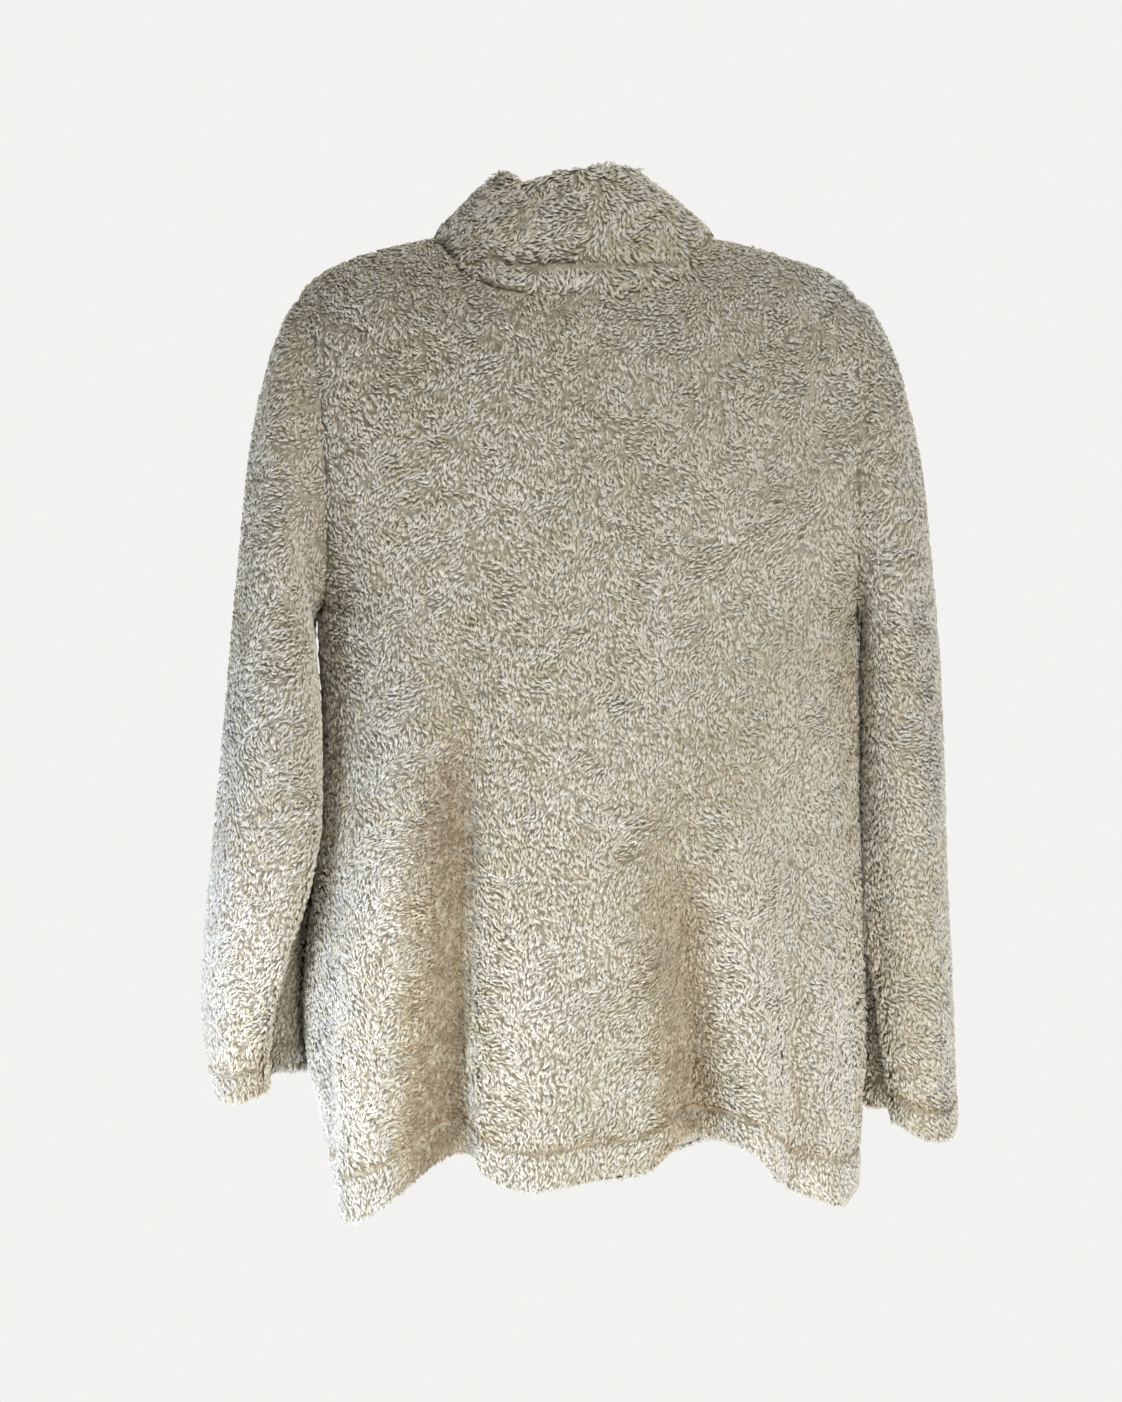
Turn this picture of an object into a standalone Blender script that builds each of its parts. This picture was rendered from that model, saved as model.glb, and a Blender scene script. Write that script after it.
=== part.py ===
"""Sherpa fleece pullover with a stand collar and dropped shoulders, hanging open as if filled by a wearer.

The wearer's left is +X, the back is +Y and up is +Z. The origin is at the middle of the neck, level with the
tops of the shoulders, where the wearer carries the pullover. Tables and sizes are in millimetres, and
cloth_object turns them into metres.

Five pieces are cut and sewn: a back, a front, two sleeves and a collar. Each is a wall of cloth between an
outer and an inner face, and two pieces stand SEAM_GAP apart along the seam that joins them.
"""
from collections import namedtuple

import bpy
import numpy as np

MM = 0.001
CLOTH = 4.0  # knitted ground and the packed roots of its pile
COLLAR_CLOTH = 7.0  # the collar band is the same fleece, folded double
HEM_CLOTH = 6.5  # fleece turned up once and stitched
HEM_DEPTH = 25.0
HEM_STEP = 3.0  # height over which the turned edge ends
SEAM_GAP = 0.3

ACROSS = 26  # columns of the front and the back, from side to side
EVEN = 0.09  # evens out the columns, which would bunch up at the sides
ROUND_HALF = 12  # points on half a sleeve's ring, and rows of a panel beside the armhole
PLAIN_ROWS = 7  # rows of a panel between the hem and the underarm
SHOULDER_ROWS = 4
SLEEVE_ROWS = 8  # rows of a sleeve between the upper arm and the cuff's turned edge

FLEECE_COLOUR = (0.60, 0.54, 0.42, 1.0)
FLEECE_ROUGHNESS = 0.95

# ---------------------------------------------------------------------------------------------------------
# Sizes of the body. Height on the pattern, called rise, runs from 0 at the hem to 1 at the underarm along
# the side seam, on to 2 at the shoulder point round the armhole, and to 3 at the neck along the shoulder.
# ---------------------------------------------------------------------------------------------------------
HEM_Z, UNDERARM_Z, SHOULDER_Z = -648.0, -258.0, -28.0
# How far the armhole reaches behind and before the shoulder line, and how far its middle is cut in.
ARMHOLE_BACK, ARMHOLE_FRONT = 58.0, 54.0
CUT_IN = {"left": {True: 13.0, False: 8.0}, "right": {True: 1.0, False: 6.0}}  # by side, then back or front
HEM_FADE = 0.45  # the rise at which the hem's own line no longer shows

# sag is how squarely the row drops between its middle and its sides.
Station = namedtuple("Station", "rise left right side_z back_z back_y front_z front_y fullness sag")
STATIONS = [
    Station(0.00, 176, 202, -648, -648, 113, -648, -110, 0.80, 2.0),
    Station(0.12, 188, 204, -602, -602, 113, -602, -109, 0.80, 2.0),
    Station(0.25, 197, 204, -550, -550, 112, -550, -108, 0.81, 2.0),
    Station(0.50, 190, 203, -453, -453, 109, -453, -108, 0.84, 2.0),
    Station(0.75, 186, 202, -355, -357, 106, -355, -112, 0.88, 2.0),
    Station(1.00, 190, 202, -258, -267, 105, -262, -116, 0.93, 2.0),
    Station(1.25, 192, 202, -225, -222, 106, -222, -118, 0.97, 2.0),
    Station(1.50, 197, 201, -146, -174, 106, -180, -117, 1.02, 2.0),
    Station(1.75, 201, 200, -65, -130, 103, -142, -113, 1.10, 2.0),
    Station(2.00, 203, 200, -28, -95, 97, -114, -109, 1.25, 2.1),
    Station(2.25, 185, 178, -9, -77, 93, -103, -107, 1.18, 2.4),
    Station(2.50, 160, 147, 2, -60, 89, -92, -104, 1.12, 2.8),
    Station(3.00, 104, 95, 16, -29, 77, -74, -98, 1.00, 4.0),
]

# Height of the cut edge of the hem across the panel, from the right side seam to the left one.
HemPoint = namedtuple("HemPoint", "x z")
BACK_HEM = [
    HemPoint(-202, -673), HemPoint(-188, -681), HemPoint(-176, -680), HemPoint(-160, -672),
    HemPoint(-139, -656), HemPoint(-122, -643), HemPoint(-106, -633), HemPoint(-82, -630),
    HemPoint(-68, -637), HemPoint(-54, -649), HemPoint(-8, -659), HemPoint(46, -665), HemPoint(60, -661),
    HemPoint(72, -653), HemPoint(82, -647), HemPoint(92, -645), HemPoint(105, -647), HemPoint(117, -659),
    HemPoint(128, -672), HemPoint(140, -684), HemPoint(152, -690), HemPoint(163, -689),
    HemPoint(176, -678),
]
FRONT_HEM = [
    HemPoint(-202, -673), HemPoint(-170, -676), HemPoint(-116, -644), HemPoint(-56, -658),
    HemPoint(8, -643), HemPoint(64, -657), HemPoint(126, -645), HemPoint(155, -676), HemPoint(176, -678),
]

# Soft folds that fall from high_x at high_z to hem_x at the hem. height is positive for a ridge.
Fold = namedtuple("Fold", "high_x high_z hem_x width height")
BACK_FOLDS = [
    Fold(150, -380, 150, 30, 24),
    Fold(76, -200, 94, 27, -36),
    Fold(124, -250, 112, 18, -9),
    Fold(38, -420, 24, 55, 13),
    Fold(-62, -330, -90, 29, -33),
    Fold(-122, -370, -126, 26, 16),
    Fold(-150, -330, -154, 15, -12),
    Fold(-172, -430, -176, 24, 13),
]
FRONT_FOLDS = [
    Fold(152, -400, 152, 30, 16),
    Fold(116, -290, 125, 26, -22),
    Fold(58, -260, 66, 32, 9),
    Fold(4, -350, 9, 28, -19),
    Fold(-50, -300, -58, 34, 11),
    Fold(-108, -280, -117, 26, -22),
    Fold(-160, -390, -164, 26, 14),
]

# ---------------------------------------------------------------------------------------------------------
# Sizes of the sleeves. Each ring has an outer point, which is the top of the sleeve, and an inner one, which
# is under the arm. lap pushes the ring's back inner corner over the body, by degrees round the ring.
# ---------------------------------------------------------------------------------------------------------
LAP_TURN, LAP_WIDTH = 125, 60
Ring = namedtuple("Ring", "along out_x out_z in_x in_z mid_y depth lap")
LEFT_SLEEVE = [
    Ring(0.00, 203, -28, 190, -258, 2, 56, 0),
    Ring(0.04, 212, -40, 194, -263, 3, 60, 0),
    Ring(0.09, 222, -65, 194, -270, 4, 64, 0),
    Ring(0.16, 231, -98, 194, -281, 6, 67, 4),
    Ring(0.24, 239, -143, 193, -298, 8, 69, 7),
    Ring(0.34, 245, -204, 191, -326, 10, 70, 9),
    Ring(0.46, 252, -280, 190, -364, 12, 69, 11),
    Ring(0.58, 259, -360, 191, -410, 14, 67, 12),
    Ring(0.70, 266, -436, 194, -458, 14, 64, 11),
    Ring(0.82, 273, -508, 200, -510, 10, 60, 6),
    Ring(0.92, 273, -554, 203, -552, 4, 56, 2),
    Ring(1.00, 266, -591, 203, -588, 0, 54, 0),
]
RIGHT_SLEEVE = [
    Ring(0.00, 200, -28, 202, -258, 2, 56, 0),
    Ring(0.04, 211, -36, 206, -263, 1, 61, 0),
    Ring(0.09, 225, -62, 206.5, -270, 0, 66, 0),
    Ring(0.16, 237, -102, 206.5, -282, -2, 69, 0),
    Ring(0.24, 247, -147, 206, -300, -3, 71, 0),
    Ring(0.34, 253.5, -205, 206, -330, -4, 72, 0),
    Ring(0.46, 260, -279, 206, -372, -5, 71, 0),
    Ring(0.58, 264, -359, 206, -418, -5, 69, 0),
    Ring(0.70, 266, -440, 207, -468, -5, 66, 0),
    Ring(0.82, 270, -522, 208, -526, -4, 63, 0),
    Ring(0.92, 272, -582, 209, -578, -3, 60, 0),
    Ring(1.00, 274, -618, 211, -615, -2, 58, 0),
]

# Folds of a sleeve: a soft trough or ridge at turn degrees round the ring, where 90 is the back and 180 the
# inner side, from one place along the sleeve to another. It drifts by drift degrees on the way.
Crease = namedtuple("Crease", "turn drift start end width height")
LEFT_CREASES = [
    Crease(176, -72, 0.60, 1.24, 42, -46),
    Crease(60, 0, 0.50, 1.30, 34, 6),
    Crease(285, 10, 0.30, 1.20, 26, -9),
    Crease(230, 0, 0.20, 0.90, 26, 5),
]
RIGHT_CREASES = [
    Crease(174, -60, 0.76, 1.35, 40, -36),
    Crease(55, 0, 0.40, 1.30, 32, 5),
    Crease(280, -8, 0.35, 1.20, 26, -9),
    Crease(225, 0, 0.25, 0.95, 24, 5),
]
CUFF_DROP = 19.0  # how far the cuff dips at the outer back
CUFF_DROP_TURN, CUFF_DROP_WIDTH = 63.0, 100.0
CUFF_FADE = 0.25  # the share of the sleeve above the cuff over which the dip fades
SLEEVE_LENGTH = 560.0  # down the outer side, to place the cuff's turned edge

# ---------------------------------------------------------------------------------------------------------
# Sizes of the collar, from the neck seam to its top edge.
# ---------------------------------------------------------------------------------------------------------
Band = namedtuple("Band", "up left right side_z back_z back_y front_z front_y sag")
COLLAR = [
    Band(0.00, 104, 95, 16, -29, 77, -74, -98, 4.0),
    Band(0.14, 102, 93, 20, -17, 77, -61, -100, 3.2),
    Band(0.27, 97, 89, 26, -5, 70, -50, -100, 2.7),
    Band(0.50, 88, 77, 35, 15, 70, -26, -102, 2.3),
    Band(0.75, 77, 65, 45, 37, 62, 0, -103, 2.0),
    Band(1.00, 63, 49, 53, 58, 53, 27, -103, 2.0),
]
COLLAR_UP = (0, 0.07, 0.14, 0.27, 0.50, 0.75, 1)
# Height of the collar's top edge above its smooth line, by degrees round from the left side through the back.
RIM_WAVE = [
    (0, 0), (30, 7), (54, -4), (77, 1), (109, 6), (138, 8), (160, 4), (180, 0), (230, 2), (270, -4), (310, 2),
    (360, 0),
]
MITRE_CENTRE, MITRE_SIDE = 0.25, 0.44  # how much the neck seam's cut leans upward


def flowing(at, knots, values):
    """A smooth curve through the values at the knots, read at the places in at."""
    knots, values = np.asarray(knots, float), np.asarray(values, float)
    slopes = np.gradient(values, knots)
    at = np.clip(at, knots[0], knots[-1])
    i = np.clip(np.searchsorted(knots, at) - 1, 0, len(knots) - 2)
    step = knots[i + 1] - knots[i]
    t = (at - knots[i]) / step
    from_left = (1 + 2 * t) * (1 - t) ** 2 * values[i] + t * (1 - t) ** 2 * step * slopes[i]
    from_right = t * t * (3 - 2 * t) * values[i + 1] - t * t * (1 - t) * step * slopes[i + 1]
    return from_left + from_right


def read(table, column, at):
    """The named column of a table, read smoothly along the table's first column."""
    return flowing(at, [row[0] for row in table], [getattr(row, column) for row in table])


def bump(distance):
    """1 at 0, falling softly to 0 at 1 on either side."""
    return np.where(np.abs(distance) < 1, np.cos(distance * np.pi / 2) ** 2, 0.0)


def ramp(share):
    """0 up to 0 and 1 from 1, with an even turn between."""
    share = np.clip(share, 0, 1)
    return share * share * (3 - 2 * share)


def faces_out(points):
    """Unit normals of a grid of points, from the directions along its rows and its columns."""
    along = np.gradient(points, axis=0)
    across = np.gradient(points, axis=1)
    normals = np.cross(along, across)
    return normals / np.linalg.norm(normals, axis=2, keepdims=True)


# ---------------------------------------------------------------------------------------------------------
# The front and the back
# ---------------------------------------------------------------------------------------------------------
def armhole_turn(rise):
    """The angle round the armhole, from pi at the underarm to 0 at the shoulder point."""
    return np.pi * (2 - np.clip(rise, 1, 2))


def armhole_x(turn, side, back):
    """How far out the armhole's edge is at each turn, on one side of the back or of the front."""
    low, high = read(STATIONS, side, 1.0), read(STATIONS, side, 2.0)
    return low + (high - low) * (1 + np.cos(turn)) / 2 - CUT_IN[side][back] * np.abs(np.sin(turn))


def side_edge(rise, side, back):
    """x, z of the panel's edge: side seam, then armhole, then shoulder seam."""
    turn = armhole_turn(rise)
    beside_arm = (rise >= 1) & (rise <= 2)
    x = np.where(beside_arm, armhole_x(turn, side, back), read(STATIONS, side, rise))
    lift = UNDERARM_Z + (SHOULDER_Z - UNDERARM_Z) * (1 + np.cos(turn)) / 2
    return x, np.where(beside_arm, lift, read(STATIONS, "side_z", rise))


def panel_face(rise, across, back):
    """The outer face of the back (back=True) or the front, at rises and at places across from -1 to 1.

    Each row is part of an oval that runs on to the side seam. Beside an armhole the oval is cut short where
    it reaches the armhole's depth.
    """
    rise, across = np.meshgrid(rise, across, indexing="ij")
    left_x, left_z = side_edge(rise, "left", back)
    right_x, right_z = side_edge(rise, "right", back)
    edge_x, edge_z = np.where(across >= 0, left_x, right_x), np.where(across >= 0, left_z, right_z)
    name, hem, folds = ("back", BACK_HEM, BACK_FOLDS) if back else ("front", FRONT_HEM, FRONT_FOLDS)
    centre_z, centre_y = read(STATIONS, name + "_z", rise), read(STATIONS, name + "_y", rise)
    fullness = read(STATIONS, "fullness", rise)
    armhole = (ARMHOLE_BACK if back else ARMHOLE_FRONT) * np.sin(armhole_turn(rise))
    edge_turn = np.arccos(np.clip(armhole / np.abs(centre_y), 0, 1) ** (1 / fullness))
    turn = (across - EVEN * np.sin(np.pi * across)) * edge_turn
    reach = np.abs(np.sin(turn)) / np.sin(edge_turn)
    x = edge_x * reach * np.sign(across)
    y = centre_y * np.clip(np.cos(turn), 0, 1) ** fullness
    z = centre_z + (edge_z - centre_z) * reach ** read(STATIONS, "sag", rise)
    hem_line = flowing(x, [p.x for p in hem], [p.z for p in hem]) - HEM_Z
    z = z + hem_line * np.clip(1 - rise / HEM_FADE, 0, 1) ** 2
    points = np.stack([x, y, z], axis=2)
    normals = faces_out(points) * (1 if back else -1)
    lifted = np.zeros_like(x)
    for fold in folds:
        fall = (fold.high_z - z) / (fold.high_z - HEM_Z)
        middle = fold.high_x + (fold.hem_x - fold.high_x) * np.clip(fall, 0, 1)
        lifted += fold.height * ramp(fall) * bump((x - middle) / fold.width)
    lifted *= 1 - reach ** 16  # the folds die out at the seams
    return points + normals * lifted[..., None]


def panel_cloth(rise):
    """The thickness of the cloth at each rise, doubled where the hem is turned up."""
    above_hem = rise * (UNDERARM_Z - HEM_Z)
    return HEM_CLOTH + (CLOTH - HEM_CLOTH) * ramp((above_hem - HEM_DEPTH) / HEM_STEP)


def neck_mitre(turn):
    """Unit directions from the neck seam's outer edge into the cloth, shared by the collar and the panels."""
    lean = MITRE_CENTRE + MITRE_SIDE * np.sin(turn) ** 2
    level = np.sqrt(1 - lean ** 2)
    return np.stack([-np.sin(turn) * level, -np.cos(turn) * level, -lean], axis=-1)


def panel(back):
    """Outer and inner grids of the back or the front. Rows run up, and columns from right to left."""
    hem_top = HEM_DEPTH / (UNDERARM_Z - HEM_Z)
    hem_end = (HEM_DEPTH + HEM_STEP) / (UNDERARM_Z - HEM_Z)
    rise = np.concatenate([
        [0, hem_top],
        np.linspace(hem_end, 1, PLAIN_ROWS + 1),
        np.linspace(1, 2, ROUND_HALF + 1)[1:],
        np.linspace(2, 3, SHOULDER_ROWS + 1)[1:],
    ])
    across = np.linspace(-1, 1, ACROSS + 1)
    facing = 1 if back else -1
    outer = panel_face(rise, across, back)
    into = -faces_out(outer) * facing
    for column, side in ((0, -1), (-1, 1)):
        into[:, column] = (-side, 0, 0)
        hole = (rise >= 1) & (rise <= 2)
        turn = armhole_turn(rise[hole])
        into[hole, column] = np.stack([0 * turn, -facing * np.sin(turn), -np.cos(turn)], axis=1)
        into[rise > 2, column] = (0, 0, -1)
    turn = (across - EVEN * np.sin(np.pi * across)) * np.pi / 2
    into[-1] = neck_mitre(turn) * (1, facing, 1)
    outer[:, [0, -1], 1] += facing * SEAM_GAP / 2
    inner = outer + into * panel_cloth(rise)[:, None, None]
    return outer, inner


# ---------------------------------------------------------------------------------------------------------
# The sleeves
# ---------------------------------------------------------------------------------------------------------
def sleeve_face(along, turn, rings, creases, side):
    """The outer face of a sleeve, at places along it from 0 to 1 and at angles round it."""
    along, turn = np.meshgrid(along, turn, indexing="ij")
    top = np.stack([read(rings, "out_x", along), read(rings, "out_z", along)])
    low = np.stack([read(rings, "in_x", along), read(rings, "in_z", along)])
    middle, half = (top + low) / 2, (top - low) / 2
    cosine, sine = np.cos(turn), np.sin(turn)
    armhole = np.where(sine > 0, ARMHOLE_BACK, ARMHOLE_FRONT)
    start = np.clip(1 - along / rings[1].along, 0, 1)
    depth = read(rings, "depth", along) * (1 - start) + armhole * start
    mid_y = read(rings, "mid_y", along) * (1 - start)
    x, z = middle + half * cosine
    name = "left" if side > 0 else "right"
    x = x - start * np.abs(sine) * np.where(sine > 0, CUT_IN[name][True], CUT_IN[name][False])
    y = mid_y + depth * sine
    x = x - read(rings, "lap", along) * bump((np.degrees(turn) - LAP_TURN) / LAP_WIDTH)
    near_cuff = ramp((along - 1 + CUFF_FADE) / CUFF_FADE)
    z = z - CUFF_DROP * near_cuff * bump((np.degrees(turn) - CUFF_DROP_TURN) / CUFF_DROP_WIDTH)
    inward = np.stack([-(x - middle[0]), mid_y - y], axis=0)
    inward = inward / np.linalg.norm(inward, axis=0)
    moved = np.zeros_like(x)
    for crease in creases:
        share = (along - crease.start) / (crease.end - crease.start)
        at = crease.turn + crease.drift * np.clip(share, 0, 1)
        moved += crease.height * np.sin(np.pi * np.clip(share, 0, 1)) * bump(
            ((np.degrees(turn) - at + 180) % 360 - 180) / crease.width)
    x, y = x - inward[0] * moved, y - inward[1] * moved
    return np.stack([side * x, y, z], axis=2)


def sleeve(rings, creases, side):
    """Outer and inner grids of a sleeve. side is 1 for the left and -1 for the right."""
    cuff_top = 1 - HEM_DEPTH / SLEEVE_LENGTH
    cuff_end = cuff_top - HEM_STEP / SLEEVE_LENGTH
    along = np.concatenate([
        [0, 0.03, 0.08, 0.15, 0.24],
        np.linspace(0.24, cuff_end, SLEEVE_ROWS + 1)[1:],
        [cuff_top, 1],
    ])
    turn = np.linspace(0, 2 * np.pi, 2 * ROUND_HALF, endpoint=False)
    outer = sleeve_face(along, turn, rings, creases, side)
    closed = np.concatenate([outer[:, -1:], outer, outer[:, :1]], axis=1)
    into = -faces_out(closed)[:, 1:-1] * side
    into[0] = np.stack([0 * turn, -np.sin(turn), -np.cos(turn)], axis=1)
    outer[0, :, 0] += side * SEAM_GAP
    below = (along - cuff_end) / (cuff_top - cuff_end)
    cloth = CLOTH + (HEM_CLOTH - CLOTH) * ramp(below)
    return outer, outer + into * cloth[:, None, None]


# ---------------------------------------------------------------------------------------------------------
# The collar
# ---------------------------------------------------------------------------------------------------------
def collar_face(up, turn):
    """The outer face of the collar at heights up from 0 to 1, and at angles round it, where 0 is the back."""
    up, turn = np.meshgrid(up, turn, indexing="ij")
    sine, cosine = np.sin(turn), np.cos(turn)
    edge_x = np.where(sine >= 0, read(COLLAR, "left", up), read(COLLAR, "right", up))
    back = cosine >= 0
    centre_y = np.where(back, read(COLLAR, "back_y", up), -read(COLLAR, "front_y", up))
    centre_z = np.where(back, read(COLLAR, "back_z", up), read(COLLAR, "front_z", up))
    z = centre_z + (read(COLLAR, "side_z", up) - centre_z) * np.abs(sine) ** read(COLLAR, "sag", up)
    wave = flowing((90 - np.degrees(turn)) % 360, *zip(*RIM_WAVE))
    return np.stack([edge_x * sine, centre_y * cosine, z + wave * up ** 2], axis=2)


def collar():
    """Outer and inner grids of the collar."""
    up = np.array(COLLAR_UP, float)
    across = np.linspace(-1, 1, ACROSS + 1)
    half = (across - EVEN * np.sin(np.pi * across)) * np.pi / 2
    turn = np.concatenate([half, half[1:-1] + np.pi])
    outer = collar_face(up, turn)
    closed = np.concatenate([outer[:, -1:], outer, outer[:, :1]], axis=1)
    into = -faces_out(closed)[:, 1:-1]
    in_front = np.where(np.cos(turn) >= 0, 1, -1)
    base_turn = np.where(np.cos(turn) >= 0, turn, np.pi - turn)
    into[0] = neck_mitre(base_turn) * np.stack([0 * turn + 1, in_front, 0 * turn + 1], axis=1)
    outer[0, :, 2] += SEAM_GAP
    cloth = CLOTH + (COLLAR_CLOTH - CLOTH) * ramp(up / up[2])
    return outer, outer + into * cloth[:, None, None]


# ---------------------------------------------------------------------------------------------------------
# Meshes
# ---------------------------------------------------------------------------------------------------------
def wall_faces(rows, columns, closed):
    """Faces of a wall between an outer and an inner grid of points, with its rims."""
    number = np.arange(rows * columns).reshape(rows, columns)
    if closed:
        number = np.concatenate([number, number[:, :1]], axis=1)
    inside = number + rows * columns
    quads = [
        np.stack([number[:-1, :-1], number[:-1, 1:], number[1:, 1:], number[1:, :-1]], axis=2),
        np.stack([inside[:-1, :-1], inside[1:, :-1], inside[1:, 1:], inside[:-1, 1:]], axis=2),
    ]
    rims = [(0, slice(None), 1), (-1, slice(None), -1)]
    if not closed:
        rims += [(slice(None), 0, -1), (slice(None), -1, 1)]
    for row, column, way in rims:
        edge, lining = number[row, column][::way], inside[row, column][::way]
        quads.append(np.stack([edge[1:], edge[:-1], lining[:-1], lining[1:]], axis=1))
    return np.concatenate([q.reshape(-1, 4) for q in quads])


def fleece():
    """The one cloth that every piece is cut from."""
    material = bpy.data.materials.new("cream_sherpa_fleece")
    material.use_nodes = True
    shader = material.node_tree.nodes["Principled BSDF"]
    shader.inputs["Base Color"].default_value = FLEECE_COLOUR
    shader.inputs["Roughness"].default_value = FLEECE_ROUGHNESS
    shader.inputs["Metallic"].default_value = 0.0
    return material


def cloth_object(name, grids, closed, material):
    """One piece of the pullover as a closed wall of cloth."""
    outer, inner = grids
    rows, columns = outer.shape[:2]
    points = np.concatenate([outer.reshape(-1, 3), inner.reshape(-1, 3)]) * MM
    faces = wall_faces(rows, columns, closed)
    corners = points[faces[:, :3]]
    volume = np.einsum("ij,ij->i", corners[:, 0], np.cross(corners[:, 1], corners[:, 2])).sum()
    if volume < 0:
        faces = faces[:, ::-1]
    mesh = bpy.data.meshes.new(name)
    mesh.from_pydata(points.tolist(), [], faces.tolist())
    mesh.materials.append(material)
    mesh.shade_smooth()
    mesh.update()
    piece = bpy.data.objects.new(name, mesh)
    bpy.context.scene.collection.objects.link(piece)
    return piece


def main():
    for old in list(bpy.data.objects):
        bpy.data.objects.remove(old)
    material = fleece()
    cloth_object("back_panel", panel(back=True), False, material)
    cloth_object("front_panel", panel(back=False), False, material)
    cloth_object("sleeve_left", sleeve(LEFT_SLEEVE, LEFT_CREASES, 1), True, material)
    cloth_object("sleeve_right", sleeve(RIGHT_SLEEVE, RIGHT_CREASES, -1), True, material)
    cloth_object("collar", collar(), True, material)


main()
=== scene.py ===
"""A cream sherpa fleece pullover with a stand collar, hanging open as if filled by a wearer, in metres.

The wearer's left is +X, the back is +Y and up is +Z. Tables are in millimetres, as on a pattern.
"""
from collections import namedtuple

import bpy
import numpy as np
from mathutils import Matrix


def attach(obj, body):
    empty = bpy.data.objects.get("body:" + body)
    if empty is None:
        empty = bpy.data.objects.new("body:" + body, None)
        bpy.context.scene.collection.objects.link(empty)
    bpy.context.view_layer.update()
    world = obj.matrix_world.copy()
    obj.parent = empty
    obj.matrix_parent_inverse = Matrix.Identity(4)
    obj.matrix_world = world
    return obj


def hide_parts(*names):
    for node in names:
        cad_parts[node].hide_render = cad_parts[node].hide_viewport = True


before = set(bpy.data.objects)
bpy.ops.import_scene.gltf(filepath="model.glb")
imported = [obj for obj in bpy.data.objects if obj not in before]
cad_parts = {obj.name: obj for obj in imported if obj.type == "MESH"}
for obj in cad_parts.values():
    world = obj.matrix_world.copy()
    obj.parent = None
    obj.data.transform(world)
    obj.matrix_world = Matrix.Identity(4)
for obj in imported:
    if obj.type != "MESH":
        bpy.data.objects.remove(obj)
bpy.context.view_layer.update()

# -------------------------------------------------------------------------------------------------
# The back of the body: one piece of fleece, cut with a low back neck, square shoulders and slightly
# hollowed armholes, its hem turned up 25 mm and stitched. It hangs in soft folds.
# -------------------------------------------------------------------------------------------------
MM = 0.001
CLOTH = 4.0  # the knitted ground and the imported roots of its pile
HEM_CLOTH = 6.5  # two layers, pressed together where the hem is turned up
HEM_DEPTH = 25.0
HEM_STEP = 3.0  # height over which one layer becomes two
HEM_Z, UNDERARM_Z, SHOULDER_Z = -648.0, -258.0, -28.0
HEM_FADE = 0.45  # the rise at which the hem line's waves have died out
ARMHOLE_DEPTH = {True: 58.0, False: 54.0}  # behind the shoulder line, and before it
CUT_IN = {"left": {True: 13.0, False: 8.0}, "right": {True: 1.0, False: 6.0}}  # the armhole's hollow
EVEN = 0.09  # how far the columns are drawn towards the sides, where a row bends most
STITCH_GROOVE, GROOVE_WIDTH = 1.4, 4.0  # the pile is caught down along the stitches

# One row of the body at each rise: 0 is the hem, 1 the underarm, 2 the shoulder point, 3 the neck.
Station = namedtuple("Station", "rise left right side_z back_z back_y front_z front_y fullness sag")
STATIONS = [
    Station(0.00, 176, 202, -648, -648, 113, -648, -110, 0.80, 2.0),
    Station(0.12, 188, 204, -602, -602, 113, -602, -109, 0.80, 2.0),
    Station(0.25, 197, 204, -550, -550, 112, -550, -108, 0.81, 2.0),
    Station(0.50, 190, 203, -453, -453, 109, -453, -108, 0.84, 2.0),
    Station(0.75, 186, 202, -355, -357, 106, -355, -112, 0.88, 2.0),
    Station(1.00, 190, 202, -258, -267, 105, -262, -116, 0.93, 2.0),
    Station(1.25, 192, 202, -225, -222, 106, -222, -118, 0.97, 2.0),
    Station(1.50, 197, 201, -146, -174, 106, -180, -117, 1.02, 2.0),
    Station(1.75, 201, 200, -65, -130, 103, -142, -113, 1.10, 2.0),
    Station(2.00, 203, 200, -28, -95, 97, -114, -109, 1.25, 2.1),
    Station(2.25, 185, 178, -9, -77, 93, -103, -107, 1.18, 2.4),
    Station(2.50, 160, 147, 2, -60, 89, -92, -104, 1.12, 2.8),
    Station(3.00, 104, 95, 16, -29, 77, -74, -98, 1.00, 4.0),
]

# The cut edge of the back's hem, from the right side seam to the left one: x, z.
BACK_HEM = [
    (-202, -673), (-188, -681), (-176, -680), (-160, -672), (-139, -656), (-122, -643), (-106, -633),
    (-82, -630), (-68, -637), (-54, -649), (-8, -659), (46, -665), (60, -661), (72, -653), (82, -647),
    (92, -645), (105, -647), (117, -659), (128, -672), (140, -684), (152, -690), (163, -689), (176, -678),
]

# A fold falls from high_x at high_z to hem_x at the hem. height is above 0 for a ridge.
Fold = namedtuple("Fold", "high_x high_z hem_x width height")
BACK_FOLDS = [
    Fold(150, -380, 150, 30, 24),
    Fold(76, -200, 94, 27, -36),
    Fold(124, -250, 112, 18, -9),
    Fold(38, -420, 24, 55, 13),
    Fold(-62, -330, -90, 29, -33),
    Fold(-122, -370, -126, 26, 16),
    Fold(-150, -330, -154, 15, -12),
    Fold(-172, -430, -176, 24, 13),
]
BODY_ROWS, BODY_COLUMNS = 88, 66


def flowing(at, knots, values):
    """A smooth curve through values at knots: a cubic on each span, whose slopes at its ends are those
    between the neighbours."""
    knots, values = np.asarray(knots, float), np.asarray(values, float)
    slopes = np.gradient(values, knots)
    at = np.clip(at, knots[0], knots[-1])
    i = np.clip(np.searchsorted(knots, at) - 1, 0, len(knots) - 2)
    step = knots[i + 1] - knots[i]
    t = (at - knots[i]) / step
    from_left = (1 + 2 * t) * (1 - t) ** 2 * values[i] + t * (1 - t) ** 2 * step * slopes[i]
    from_right = t * t * (3 - 2 * t) * values[i + 1] - t * t * (1 - t) * step * slopes[i + 1]
    return from_left + from_right


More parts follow.
